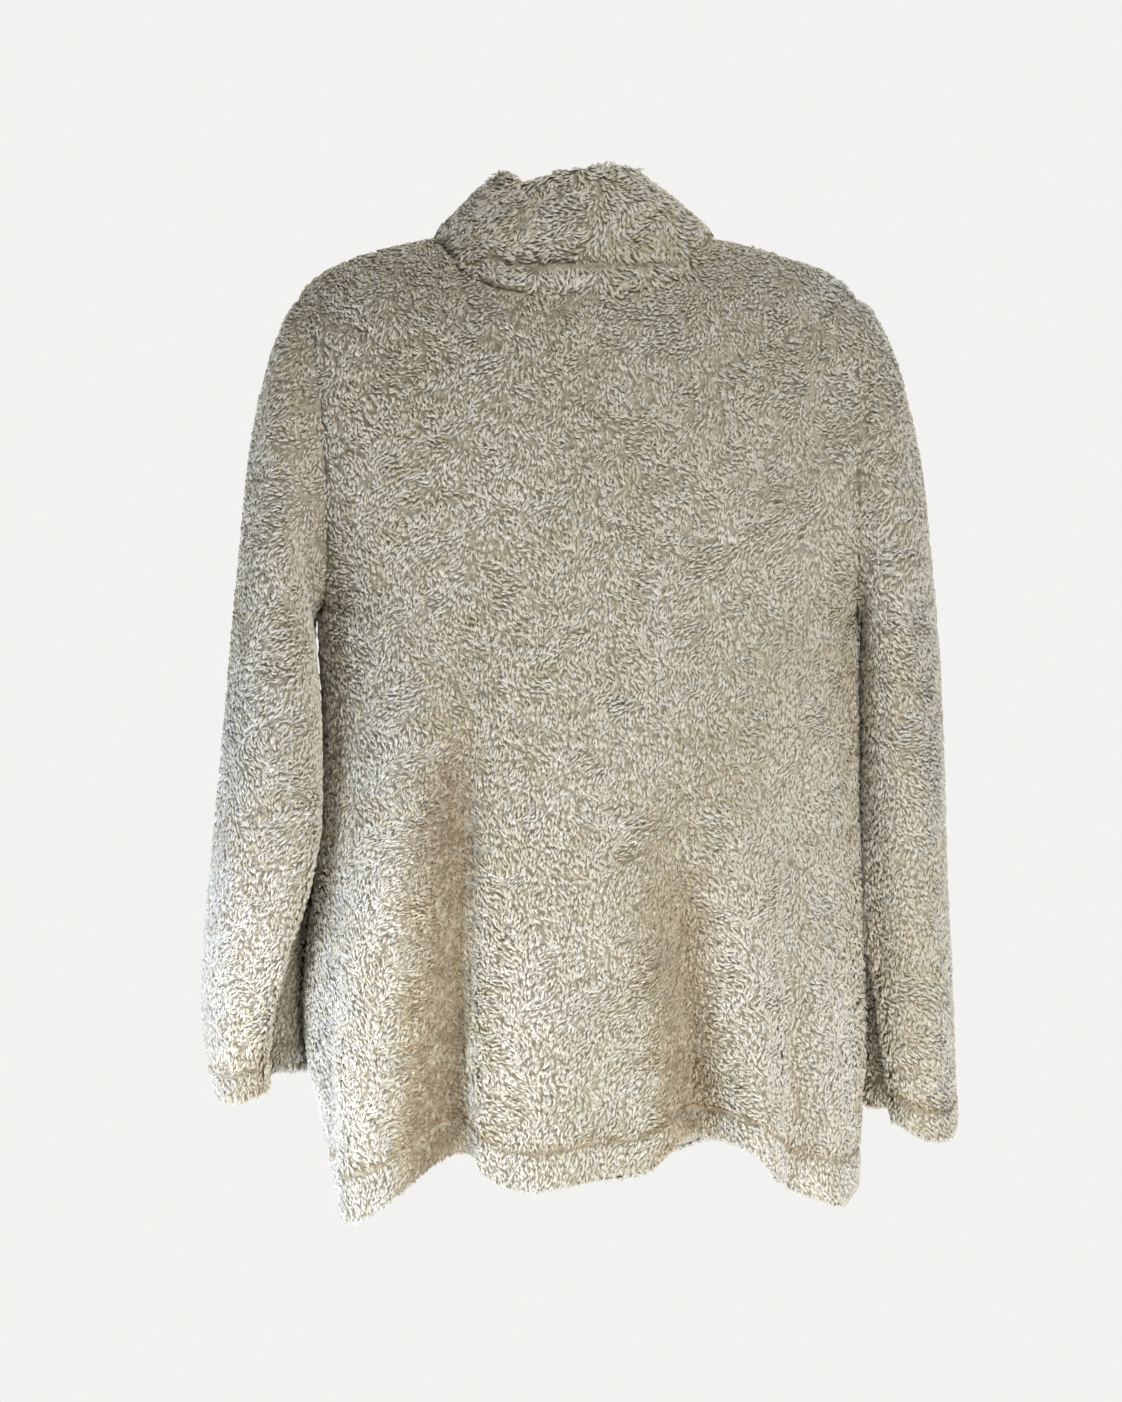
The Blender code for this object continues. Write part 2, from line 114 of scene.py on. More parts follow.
def read(table, column, at):
    """The named column of a table as a smooth curve along the table's first column."""
    return flowing(at, [row[0] for row in table], [getattr(row, column) for row in table])


def bump(distance):
    """A squared cosine: 1 at 0, falling to 0 at 1 on either side."""
    return np.where(np.abs(distance) < 1, np.cos(distance * np.pi / 2) ** 2, 0.0)


def ramp(share):
    """3t^2 - 2t^3 between 0 and 1, level outside."""
    share = np.clip(share, 0, 1)
    return share * share * (3 - 2 * share)


def faces_out(points):
    """Unit normals of a grid: the cross product of its steps along the rows and along the columns."""
    normals = np.cross(np.gradient(points, axis=0), np.gradient(points, axis=1))
    return normals / np.maximum(np.linalg.norm(normals, axis=2, keepdims=True), 1e-12)


def armhole_turn(rise):
    """The angle round the armhole: pi at the underarm, 0 at the shoulder point."""
    return np.pi * (2 - np.clip(rise, 1, 2))


def armhole_x(turn, side, back):
    """The armhole's edge: a cosine from the underarm to the shoulder, less its hollow times the sine."""
    low, high = read(STATIONS, side, 1.0), read(STATIONS, side, 2.0)
    return low + (high - low) * (1 + np.cos(turn)) / 2 - CUT_IN[side][back] * np.abs(np.sin(turn))


def side_edge(rise, side, back):
    """x, z of the edge: the side seam's table, then the armhole's half turn, then the shoulder's table."""
    turn = armhole_turn(rise)
    beside_arm = (rise >= 1) & (rise <= 2)
    x = np.where(beside_arm, armhole_x(turn, side, back), read(STATIONS, side, rise))
    lift = UNDERARM_Z + (SHOULDER_Z - UNDERARM_Z) * (1 + np.cos(turn)) / 2
    return x, np.where(beside_arm, lift, read(STATIONS, "side_z", rise))


def body_face(rise, across, back, hem, folds):
    """The outside of the back or front, in mm.

    A row is an oval: x is the edge times the sine of the turn, y the depth times a power of its cosine,
    and z sags from the sides to the middle. The armhole cuts the oval short where it is as deep as the
    armhole. Each fold then moves the face along its normal by its height, times a squared cosine across.
    """
    rise, across = np.meshgrid(rise, across, indexing="ij")
    left_x, left_z = side_edge(rise, "left", back)
    right_x, right_z = side_edge(rise, "right", back)
    edge_x, edge_z = np.where(across >= 0, left_x, right_x), np.where(across >= 0, left_z, right_z)
    name = "back" if back else "front"
    centre_z, centre_y = read(STATIONS, name + "_z", rise), read(STATIONS, name + "_y", rise)
    fullness = read(STATIONS, "fullness", rise)
    armhole = ARMHOLE_DEPTH[back] * np.sin(armhole_turn(rise))
    edge_turn = np.arccos(np.clip(armhole / np.abs(centre_y), 0, 1) ** (1 / fullness))
    turn = (across - EVEN * np.sin(np.pi * across)) * edge_turn
    reach = np.abs(np.sin(turn)) / np.sin(edge_turn)
    x = edge_x * reach * np.sign(across)
    y = centre_y * np.clip(np.cos(turn), 0, 1) ** fullness
    z = centre_z + (edge_z - centre_z) * reach ** read(STATIONS, "sag", rise)
    hem_line = flowing(x, *zip(*hem)) - HEM_Z
    z = z + hem_line * np.clip(1 - rise / HEM_FADE, 0, 1) ** 2
    points = np.stack([x, y, z], axis=2)
    normals = faces_out(points) * (1 if back else -1)
    lifted = np.zeros_like(x)
    for fold in folds:
        fall = (fold.high_z - z) / (fold.high_z - HEM_Z)
        middle = fold.high_x + (fold.hem_x - fold.high_x) * np.clip(fall, 0, 1)
        lifted += fold.height * ramp(fall) * bump((x - middle) / fold.width)
    lifted *= 1 - reach ** 16
    return points + normals * lifted[..., None]


def neck_mitre(turn):
    """Unit directions into the cloth along the neck seam, leaning up more at the sides of the neck."""
    lean = 0.25 + 0.44 * np.sin(turn) ** 2
    level = np.sqrt(1 - lean ** 2)
    return np.stack([-np.sin(turn) * level, -np.cos(turn) * level, -lean], axis=-1)


BODY_RISE = flowing(np.linspace(0, 1, BODY_ROWS + 1), [0, 0.08, 0.6, 0.85, 1], [0, 0.1, 1.05, 2.05, 3])
BODY_ABOVE_HEM = BODY_RISE * (UNDERARM_Z - HEM_Z)


def body_cloth(back, hem, folds):
    """Outside and inside grids of the back or front, in metres.

    The inside lies along the outside's normal by the cloth's thickness, which the turned hem doubles. At
    the seams it goes straight in instead, so the next piece's edge is parallel.
    """
    rise = BODY_RISE
    across = np.linspace(-1, 1, BODY_COLUMNS + 1)
    facing = 1 if back else -1
    outside = body_face(rise, across, back, hem, folds)
    into = -faces_out(outside) * facing
    for column, side in ((0, -1), (-1, 1)):
        into[:, column] = (-side, 0, 0)
        hole = (rise >= 1) & (rise <= 2)
        turn = armhole_turn(rise[hole])
        into[hole, column] = np.stack([0 * turn, -facing * np.sin(turn), -np.cos(turn)], axis=1)
        into[rise > 2, column] = (0, 0, -1)
    into[-1] = neck_mitre((across - EVEN * np.sin(np.pi * across)) * np.pi / 2) * (1, facing, 1)
    cloth = HEM_CLOTH + (CLOTH - HEM_CLOTH) * ramp((BODY_ABOVE_HEM - HEM_DEPTH) / HEM_STEP)
    groove = STITCH_GROOVE * bump((BODY_ABOVE_HEM - HEM_DEPTH) / GROOVE_WIDTH)
    inside = outside + into * cloth[:, None, None]
    return (outside + into * groove[:, None, None]) * MM, inside * MM


def linear(colour):
    """sRGB hex to linear red, green, blue and 1, by the sRGB curve."""
    parts = np.array([int(colour[i:i + 2], 16) for i in (1, 3, 5)]) / 255
    parts = np.where(parts <= 0.04045, parts / 12.92, ((parts + 0.055) / 1.055) ** 2.4)
    return (*parts.tolist(), 1.0)


def add(tree, kind, settings=None, **links):
    """Adds a node. settings are its properties or input values, and links its inputs fed by sockets."""
    node = tree.nodes.new(kind)
    for key, value in (settings or {}).items():
        if isinstance(key, str) and hasattr(node, key):
            setattr(node, key, value)
        else:
            node.inputs[key].default_value = value
    for key, socket in links.items():
        tree.links.new(socket, node.inputs[int(key[1:]) if key[0] == "_" else key.replace("_", " ")])
    return node


def colour_band(tree, fac, stops):
    """A colour ramp through the hex colours of stops, which are place and colour."""
    band = add(tree, "ShaderNodeValToRGB", _0=fac)
    points = band.color_ramp.elements
    for place, colour in stops[1:-1]:
        points.new(place)
    for point, (place, colour) in zip(points, stops):
        point.position, point.color = place, linear(colour)
    return band.outputs[0]


def new_material(name):
    """An empty material with its shader and its node tree."""
    material = bpy.data.materials.new(name)
    material.use_nodes = True
    return material, material.node_tree, material.node_tree.nodes["Principled BSDF"]


# Polyester sherpa pile, brushed up and tumbled into short locks. Each lock is matt and a little
# translucent: cream at its tip and shadowed at its root. The map gives each lock's tint across, which holds
# painted highlight on the folds' ridges and painted shade in their troughs, by the stitches and along the
# collar's crease, and the way from its root to its tip upwards.
pile_fleece, tree, shader = new_material("polyester_sherpa_pile")
lock_map = add(tree, "ShaderNodeUVMap", {"uv_map": "OFBake"})
along = add(tree, "ShaderNodeSeparateXYZ", _0=lock_map.outputs[0])
tint = colour_band(tree, along.outputs[0], [
    (0.0, "#a29078"), (0.3, "#d8cdb4"), (0.55, "#eae7dc"), (0.8, "#f1efe9"), (1.0, "#f7f7f6"),
])
shade = colour_band(tree, along.outputs[1], [
    (0.0, "#7f7765"), (0.25, "#c3bdad"), (0.5, "#f3f1ea"), (1.0, "#ffffff"),
])
mixed = add(tree, "ShaderNodeMix", {"data_type": "RGBA", "blend_type": "MULTIPLY", 0: 1.0}, _6=tint, _7=shade)
tree.links.new(mixed.outputs[2], shader.inputs["Base Color"])
shader.inputs["Roughness"].default_value = 0.85
shader.inputs["Specular IOR Level"].default_value = 0.25
shader.inputs["Sheen Weight"].default_value = 0.25
shader.inputs["Sheen Roughness"].default_value = 0.4

# The imported roots of the pile, seen in the gaps between locks: cream, made brownish by painted shade
# of the pile's depth, matt and lumpy. The lumps are 4 mm, the width of a tuft, and finer fibre of 1 mm
# lies on them.
pile_roots, tree, shader = new_material("packed_pile_roots_painted_shade")
place = add(tree, "ShaderNodeTexCoord").outputs["Object"]
tufts = add(tree, "ShaderNodeTexNoise", {"Scale": 1 / 0.004, "Detail": 3.0}, Vector=place)
fibre = add(tree, "ShaderNodeTexNoise", {"Scale": 1 / 0.001, "Detail": 2.0}, Vector=place)
# Painted shade: the colour is brownish all over for the pile's depth, and darker where the lumps are low.
root_colour_and_shade = colour_band(tree, tufts.outputs[0], [(0.3, "#8c8471"), (0.5, "#aba491"), (0.7, "#c6c0ae")])
tree.links.new(root_colour_and_shade, shader.inputs["Base Color"])
lumps = add(tree, "ShaderNodeBump", {"Strength": 0.9, "Distance": 0.002}, Height=tufts.outputs[0])
lumps = add(tree, "ShaderNodeBump", {"Strength": 0.4, "Distance": 0.0005}, Height=fibre.outputs[0],
            Normal=lumps.outputs[0])
tree.links.new(lumps.outputs[0], shader.inputs["Normal"])
shader.inputs["Roughness"].default_value = 0.95
shader.inputs["Specular IOR Level"].default_value = 0.15

# The knitted ground on the inside: plain polyester jersey, its ribs of stitches about 1.3 mm wide. They
# are too fine to show, so they are drawn 2.6 mm wide, with painted shade where the stitches are low. The
# map is in millimetres on the cloth.
BAND_SCALE = 0.314  # the scale that a wave pattern needs for bands 1 mm apart
RIB_WIDTH, ROW_HEIGHT = 2.6, 1.8
knit_ground, tree, shader = new_material("polyester_knit_ground")
cloth_map = add(tree, "ShaderNodeUVMap", {"uv_map": "cloth_mm"})
ribs = add(tree, "ShaderNodeTexWave", {
    "wave_type": "BANDS", "bands_direction": "X", "Scale": BAND_SCALE / RIB_WIDTH, "Distortion": 0.6,
    "Detail": 1.0,
}, Vector=cloth_map.outputs[0])
rows = add(tree, "ShaderNodeTexWave", {
    "wave_type": "BANDS", "bands_direction": "Y", "Scale": BAND_SCALE / ROW_HEIGHT, "Distortion": 0.8,
    "Detail": 1.0,
}, Vector=cloth_map.outputs[0])
stitches = add(tree, "ShaderNodeMath", {"operation": "MULTIPLY"}, _0=ribs.outputs[1], _1=rows.outputs[1])
# Painted shade: the colour is darker where the stitches' bumps are low.
knit_colour = colour_band(tree, stitches.outputs[0], [(0.0, "#a99f8c"), (0.5, "#cfc7b5"), (1.0, "#e2dccd")])
tree.links.new(knit_colour, shader.inputs["Base Color"])
loops = add(tree, "ShaderNodeBump", {"Strength": 0.5, "Distance": 0.0006}, Height=stitches.outputs[0])
tree.links.new(loops.outputs[0], shader.inputs["Normal"])
shader.inputs["Roughness"].default_value = 0.9
shader.inputs["Specular IOR Level"].default_value = 0.2

# Spun polyester sewing thread in a golden tan, two plies twisted together. It is 0.3 mm thick, drawn 0.8 mm
# thick to show, and the shade of its plies changes every 1.2 mm along it.
sewing_thread, tree, shader = new_material("spun_polyester_thread")
place = add(tree, "ShaderNodeTexCoord").outputs["Object"]
plies = add(tree, "ShaderNodeTexNoise", {"Scale": 1 / 0.0012, "Detail": 1.0}, Vector=place)
thread_colour = colour_band(tree, plies.outputs[0], [(0.35, "#8a6636"), (0.5, "#b58d55"), (0.65, "#cfae7c")])
tree.links.new(thread_colour, shader.inputs["Base Color"])
shader.inputs["Roughness"].default_value = 0.6


def wall_faces(rows, columns, closed):
    """Faces of a wall between an outside and an inside grid, with its rims: each joins four neighbours."""
    number = np.arange(rows * columns).reshape(rows, columns)
    if closed:
        number = np.concatenate([number, number[:, :1]], axis=1)
    inside = number + rows * columns
    quads = [
        np.stack([number[:-1, :-1], number[:-1, 1:], number[1:, 1:], number[1:, :-1]], axis=2),
        np.stack([inside[:-1, :-1], inside[1:, :-1], inside[1:, 1:], inside[:-1, 1:]], axis=2),
    ]
    rims = [(0, slice(None), 1), (-1, slice(None), -1)]
    if not closed:
        rims += [(slice(None), 0, -1), (slice(None), -1, 1)]
    for row, column, way in rims:
        edge, lining = number[row, column][::way], inside[row, column][::way]
        quads.append(np.stack([edge[1:], edge[:-1], lining[:-1], lining[1:]], axis=1))
    return [q.reshape(-1, 4) for q in quads]


def new_mesh(name, points, faces, materials, material_of=None, maps=()):
    """A mesh from whole arrays: points, faces of one size, the material of each face and its maps."""
    mesh = bpy.data.meshes.new(name)
    count, size = faces.shape
    mesh.vertices.add(len(points))
    mesh.vertices.foreach_set("co", points.astype(np.float32).ravel())
    mesh.loops.add(count * size)
    mesh.loops.foreach_set("vertex_index", faces.astype(np.int32).ravel())
    mesh.polygons.add(count)
    mesh.polygons.foreach_set("loop_start", np.arange(count, dtype=np.int32) * size)
    for material in materials:
        mesh.materials.append(material)
    if material_of is not None:
        mesh.polygons.foreach_set("material_index", material_of.astype(np.int32))
    for map_name, places in maps:
        layer = mesh.uv_layers.new(name=map_name, do_init=False)
        layer.uv.foreach_set("vector", places[faces.ravel()].astype(np.float32).ravel())
    mesh.update(calc_edges=True)
    mesh.validate()
    mesh.shade_smooth()
    piece = bpy.data.objects.new(name, mesh)
    bpy.context.scene.collection.objects.link(piece)
    return piece


def sewn_to(piece, node):
    """Puts a piece on the body, in the place of the plain solid of that name."""
    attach(piece, "root")
    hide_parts(node)
    return piece


def cloth_piece(name, outside, inside, closed, node):
    """The cloth itself, as a closed wall: pile roots outside and on the rims, knitted ground inside."""
    rows, columns = outside.shape[:2]
    points = np.concatenate([outside.reshape(-1, 3), inside.reshape(-1, 3)])
    parts = wall_faces(rows, columns, closed)
    faces = np.concatenate(parts)
    out_count, in_count = len(parts[0]), len(parts[1])
    material_of = np.repeat([0, 1, 0], [out_count, in_count, len(faces) - out_count - in_count])
    a, b, c = (points[faces[:, i]] for i in range(3))
    if np.einsum("ij,ij->i", a, np.cross(b, c)).sum() < 0:
        faces = faces[:, ::-1]
    steps = np.linalg.norm(np.diff(outside, axis=0), axis=2).mean(1)
    widths = np.linalg.norm(np.diff(outside, axis=1), axis=2).mean(0)
    up = np.concatenate([[0], np.cumsum(steps)]) / MM
    over = np.concatenate([[0], np.cumsum(widths)]) / MM
    on_cloth = np.stack(np.broadcast_arrays(over[None, :], up[:, None]), axis=2).reshape(-1, 2)
    maps = [("cloth_mm", np.concatenate([on_cloth, on_cloth]))]
    return sewn_to(new_mesh(name, points, faces, [pile_roots, knit_ground], material_of, maps), node)


WAVES, WAVES_HEIGHT = 14, 3.6


def soft_noise(points, size, seed):
    """Soft noise of about -1 to 1: a sum of cosine waves of about that length, each in its own direction."""
    source = np.random.default_rng(seed)
    waves = source.normal(size=(WAVES, 3))
    lengths = np.linalg.norm(waves, axis=1, keepdims=True)
    waves *= 2 * np.pi / size * source.uniform(0.7, 1.4, (WAVES, 1)) / lengths
    return np.cos(points @ waves.T + source.uniform(0, 2 * np.pi, WAVES)).sum(1) / WAVES_HEIGHT


EVEN_SHARES = 0.7548776662466927, 0.5698402909980532  # steps that spread points evenly in two directions
ROOT_SCATTER = 0.3  # of the spacing


def roots_on(points, spacing, closed, seed):
    """Roots spread evenly over a grid: place, normal and row on the grid.

    Cells are taken in order by their running area, and in even steps of two irrational shares, so equal
    areas hold equal numbers of roots. Each root is then moved a little at random.
    """
    if closed:
        points = np.concatenate([points[:, -1:], points, points[:, :2]], axis=1)
    normals = faces_out(points)
    if closed:
        points, normals = points[:, 1:-1], normals[:, 1:-1]
    a = np.cross(points[1:, 1:] - points[:-1, :-1], points[1:, :-1] - points[:-1, 1:])
    area = np.linalg.norm(a, axis=2) / 2
    count = int(area.sum() / spacing ** 2)
    i = np.arange(count)
    row_share = np.concatenate([[0], np.cumsum(area.sum(1))]) / area.sum()
    u, v = ((0.5 + i * share) % 1 for share in EVEN_SHARES)
    row = np.clip(np.searchsorted(row_share, u, side="right") - 1, 0, len(area) - 1)
    s = (u - row_share[row]) / (row_share[row + 1] - row_share[row])
    column_share = np.cumsum(area, axis=1) / area.sum(1, keepdims=True)
    flat = (column_share + np.arange(len(area))[:, None]).ravel()
    cell = np.clip(np.searchsorted(flat, v + row, side="right"), 0, len(flat) - 1)
    column = np.clip(cell - row * area.shape[1], 0, area.shape[1] - 1)
    before = np.where(column > 0, column_share[row, column - 1], 0)
    t = (v - before) / (column_share[row, column] - before)
    source = np.random.default_rng(seed)
    cells = np.sqrt(area[row, column])
    s = np.clip(s + source.normal(0, ROOT_SCATTER, count) * spacing / cells, 0, 1)
    t = np.clip(t + source.normal(0, ROOT_SCATTER, count) * spacing / cells, 0, 1)
    corners = [
        (row, column, (1 - s) * (1 - t)), (row + 1, column, s * (1 - t)),
        (row, column + 1, (1 - s) * t), (row + 1, column + 1, s * t),
    ]
    place, normal = (
        sum(grid[r, c] * share[:, None] for r, c, share in corners) for grid in (points, normals))
    return place, normal / np.linalg.norm(normal, axis=1, keepdims=True), row + s


def turned_out(points, faces, middles):
    """Triangles of many small solids, flipped where they would look towards the solids' middles."""
    a, b, c = (points[faces[:, i]] for i in range(3))
    away = (a + b + c) / 3 - np.repeat(middles, len(faces) // len(middles), axis=0)
    return faces[:, ::-1] if np.einsum("ij,ij->i", np.cross(b - a, c - a), away).sum() < 0 else faces


PILE_LENGTH, PILE_WIDTH = 0.0064, 0.0019
PILE_SPACING = 0.0023
ROOT_DEPTH = 0.001
PRESSED_DOWN = 0.0012


def pile_piece(name, at, normal, look, node, seed):
    """Locks of pile, each a closed leaf of 4 triangles that bends over the cloth.

    A look is the swirl, tint, sink and size of each lock. swirl is the angle by which it turns from
    straight down the cloth. A lock rises from its root, which is sunk 1 mm in the cloth, is widest at its
    middle, and ends in a point that lies over. The two corners of its middle are staggered along it.
    Where sink is 1 it is pressed 1.2 mm down between its neighbours and shows only its shadowed half, and
    where sink is below 0 it is fluffed up.
    """
    swirl, tint, sink, size = look
    at = at - normal * PRESSED_DOWN * sink[:, None]
    source = np.random.default_rng(seed)
    count = len(at)
    down = np.array([0, 0, -1.0]) - normal * -normal[:, 2:]
    down += 1e-4 * np.array([0.3, 0.9, 0.1])
    down /= np.linalg.norm(down, axis=1, keepdims=True)
    beside = np.cross(normal, down)
    lay = down * np.cos(swirl)[:, None] + beside * np.sin(swirl)[:, None]
    side = np.cross(normal, lay)
    length = (PILE_LENGTH * size * source.uniform(0.75, 1.25, count))[:, None]
    width = PILE_WIDTH / 2 * source.uniform(0.8, 1.25, (count, 1))
    stand = source.uniform(0.12, 0.32, (count, 1)) * (1 - 0.35 * sink[:, None])
    curl = source.normal(0, 0.07, (count, 1))
    stagger = source.choice([-0.13, 0.13], (count, 1))
    middle = at + length * (0.42 * lay + stand * normal + curl * side)
    root = at - ROOT_DEPTH * normal
    left = middle + width * side + stagger * length * lay
    right = middle - width * side - stagger * length * lay
    tip = at + length * (0.98 * lay + (stand - 0.08) * normal - 0.8 * curl * side)
    points = np.stack([root, left, right, tip], axis=1).reshape(-1, 3)
    pattern = np.array([(0, 1, 2), (3, 2, 1), (0, 3, 1), (0, 2, 3)])
    faces = (np.arange(count)[:, None, None] * 4 + pattern).reshape(-1, 3)
    faces = turned_out(points, faces, (root + left + right + tip) / 4)
    over = np.clip(tint, 0.02, 0.98)[:, None] + np.array([0, -1, 1, 0]) * 0.004
    up = np.array([0.02, 0.5, 0.5, 0.98]) * (1 - 0.5 * np.clip(sink[:, None], 0, 1))
    maps = [("OFBake", np.stack([over, up], axis=2).reshape(-1, 2))]
    return sewn_to(new_mesh(name, points, faces, [pile_fleece], None, maps), node)


# Faint yellowed places on the back, low on the wearer's left, in millimetres.
Patch = namedtuple("Patch", "x z size")
WARM_PATCHES = [Patch(154, -512, 36), Patch(172, -572, 30), Patch(72, -548, 28), Patch(118, -470, 22)]
WILD_ABOVE, WILD_REACH = -470, 400  # locks wander from this height on, and most of all this far above it
CLUMP = 0.016
DEEPEST_TROUGH, HIGHEST_RIDGE = 36, 24


def fleece_look(at, folds, seed):
    """The swirl, tint, sink and size of the pile at each root.

    Locks swirl by soft noise of two sizes, wander more the higher they are, and lean in to the bottom of
    each trough. They part along the level lines of soft noise 16 mm long, as pile does where it has
    clumped, and sink there. The tint is soft noise of two sizes, browner in the yellowed places. Painted
    highlight makes it paler on the ridges, and painted shade makes it browner on the shaded side of a
    trough, where the locks lie deeper too.
    """
    source = np.random.default_rng(seed)
    x, z = at[:, 0] / MM, at[:, 2] / MM
    wild = ramp((z - WILD_ABOVE) / WILD_REACH)
    swirl = soft_noise(at, 0.085, 1) * (0.35 + 0.7 * wild) + soft_noise(at, 0.028, 2) * (0.40 + 0.3 * wild)
    swirl += source.normal(0, 0.13 + 0.10 * wild)
    tint = 0.55 + 0.06 * soft_noise(at, 0.12, 3) + 0.05 * soft_noise(at, 0.03, 4)
    tint += source.normal(0, 0.09, len(at))
    clump = soft_noise(at, CLUMP, 5)
    sink = np.exp(-(clump / 0.24) ** 2) * (0.55 + 0.3 * wild)
    swirl += 0.35 * np.sign(clump) * np.exp(-(clump / 0.5) ** 2)
    facing = np.sign(at[:, 1])
    for patch in WARM_PATCHES:
        tint -= 0.13 * bump(np.hypot(x - patch.x, (z - patch.z) / 1.6) / patch.size) * (at[:, 1] > 0.06)
    for fold in folds:
        fall = (fold.high_z - z) / (fold.high_z - HEM_Z)
        middle = fold.high_x + (fold.hem_x - fold.high_x) * np.clip(fall, 0, 1)
        off = (x - middle) / (1.6 * fold.width)
        near = ramp(fall * 2) * np.abs(off) * np.exp(-off ** 2 * 2) * 1.9
        swirl -= facing * np.sign(off) * near * np.clip(-fold.height / 16, -0.4, 1)
        shaded = (x - middle - 10) / (1.6 * fold.width)
        trough = ramp(fall * 1.6) * bump(shaded * 1.1) * np.clip(-fold.height / DEEPEST_TROUGH, 0, 1) ** 4
        crest = (x - middle - 5) / (2 * fold.width)
        ridge = ramp(fall * 1.6) * bump(crest) * np.clip(fold.height / HIGHEST_RIDGE, 0, 1)
        # Painted highlight lightens the tint on the ridges; painted shade browns it and sinks the locks on
        # the side of each trough away from the lights.
        tint += 0.25 * ridge - 0.55 * trough
        sink += 0.25 * trough
    return swirl, tint, sink, np.ones(len(at))


def stitched(look, above_edge, edge_size):
    """The look of pile by a turned edge: caught down along the stitches, which lie 25 mm from the edge,
    with painted warm shade along the stitches and just over them, and shorter round the edge itself."""
    swirl, tint, sink, size = look
    caught = bump((above_edge - HEM_DEPTH) / 3.5)
    # Painted shade: the tint is darkened along the stitch line and just above it.
    tint = tint - 0.3 * caught - 0.10 * bump((above_edge - HEM_DEPTH - 3) / 9)
    turned = ramp((HEM_DEPTH - above_edge) / 6)
    size = size * (1 - (1 - edge_size) * ramp(1 - above_edge / 4))
    return swirl * (1 - 0.5 * turned), tint, np.minimum(sink + 0.8 * caught, 1), size


STITCH_LENGTH, STITCH_STEP = 0.0032, 0.0042
THREAD_RADIUS, THREAD_LIFT = 0.00042, 0.0008
THREAD_ENDS = 0.0019, 0.0009  # how far a stitch reaches along the cloth, and how deep its ends dive
THREAD_RINGS = 0.0011


def stitch_row(name, outside, above_edge, closed, node):
    """Sewing thread along a turned edge: a row of closed three-sided stitches, 3.2 mm long every 4.2 mm.

    The row is the line of the grid that lies 25 mm from the edge. A stitch is a spindle with two rings.
    """
    row = np.interp(HEM_DEPTH, above_edge, np.arange(len(above_edge)))
    low, share = int(row), row - int(row)
    normals = faces_out(outside)
    line = outside[low] * (1 - share) + outside[low + 1] * share
    normal = normals[low] * (1 - share) + normals[low + 1] * share
    if closed:
        line, normal = np.concatenate([line, line[:1]]), np.concatenate([normal, normal[:1]])
    run = np.concatenate([[0], np.cumsum(np.linalg.norm(np.diff(line, axis=0), axis=1))])
    starts = np.arange(0.003, run[-1] - 0.005, STITCH_STEP)
    start, end, lift = (
        np.stack([np.interp(starts + step, run, of[:, i]) for i in range(3)], axis=1)
        for of, step in ((line, 0), (line, STITCH_LENGTH), (normal, 0)))
    way = end - start
    way /= np.linalg.norm(way, axis=1, keepdims=True)
    lift -= way * np.einsum("ij,ij->i", lift, way)[:, None]
    lift /= np.linalg.norm(lift, axis=1, keepdims=True)
    beside = np.cross(way, lift)
    middle = (start + end) / 2 + lift * THREAD_LIFT
    rings = [middle + way * step + THREAD_RADIUS * (np.cos(a) * lift + np.sin(a) * beside)
             for step in (-THREAD_RINGS, THREAD_RINGS) for a in np.radians([90, 210, 330])]
    reach, dive = THREAD_ENDS
    first, last = (middle + way * step - lift * dive for step in (-reach, reach))
    points = np.stack([first, *rings, last], axis=1)
    pattern = np.array([
        (0, 2, 1), (0, 3, 2), (0, 1, 3), (1, 2, 5), (1, 5, 4), (2, 3, 6), (2, 6, 5), (3, 1, 4), (3, 4, 6),
        (7, 4, 5), (7, 5, 6), (7, 6, 4),
    ])
    faces = (np.arange(len(starts))[:, None, None] * 8 + pattern).reshape(-1, 3)
    points = points.reshape(-1, 3)
    return sewn_to(new_mesh(name, points, turned_out(points, faces, middle), [sewing_thread]), node)


EDGE_ROUND = 0.0014  # the turned edge is rounded down by this much
EDGE_PILE = 0.7  # length of the locks on the edge itself
FLUFFED_UP = 1.4


def brushed_up(look, sideways, below):
    """The look of pile fluffed up where the sleeves and the sides of the body brush each other: where
    its normal points sideways, by the share below of its height."""
    swirl, tint, sink, size = look
    brushed = ramp((sideways - 0.86) / 0.12) * below
    return swirl, tint, sink * (1 - brushed) - FLUFFED_UP * brushed, size


def body_pile(name, outside, inside, folds, node, seed):
    """The pile of the back or front, in an upper and a lower piece, turned round the hem's edge."""
    round_hem = (outside[0] + inside[0]) / 2 - (0, 0, EDGE_ROUND)
    under = [inside[6:0:-2], (inside[0] * 0.9 + outside[0] * 0.1)[None], round_hem[None]]
    pile_grid = np.concatenate([*under, outside])
    above_edge = np.concatenate([-BODY_ABOVE_HEM[6:0:-2] - 4, [-3, -1], BODY_ABOVE_HEM])
    if seed % 2:
        pile_grid = pile_grid[:, ::-1]
    at, normal, row = roots_on(pile_grid, PILE_SPACING, False, seed)
    beside_sleeve = ramp((-at[:, 2] - 0.38) / 0.1) * ramp((at[:, 2] + 0.61) / 0.03)
    look = brushed_up(fleece_look(at, folds, seed), np.abs(normal[:, 0]), beside_sleeve)
    look = stitched(look, np.interp(row, np.arange(len(above_edge)), above_edge), EDGE_PILE)
    low = at[:, 2] < np.median(at[:, 2])
    return [pile_piece(name + part, at[of], normal[of], [kind[of] for kind in look], node, seed)
            for part, of in (("_lower", low), ("_upper", ~low))]


outside, inside = body_cloth(True, BACK_HEM, BACK_FOLDS)
back_cloth = cloth_piece("back_cloth", outside, inside, False, "back_panel")
back_pile = body_pile("back_pile", outside, inside, BACK_FOLDS, "back_panel", 10)
back_stitches = stitch_row("back_hem_stitches", outside, BODY_ABOVE_HEM, False, "back_panel")

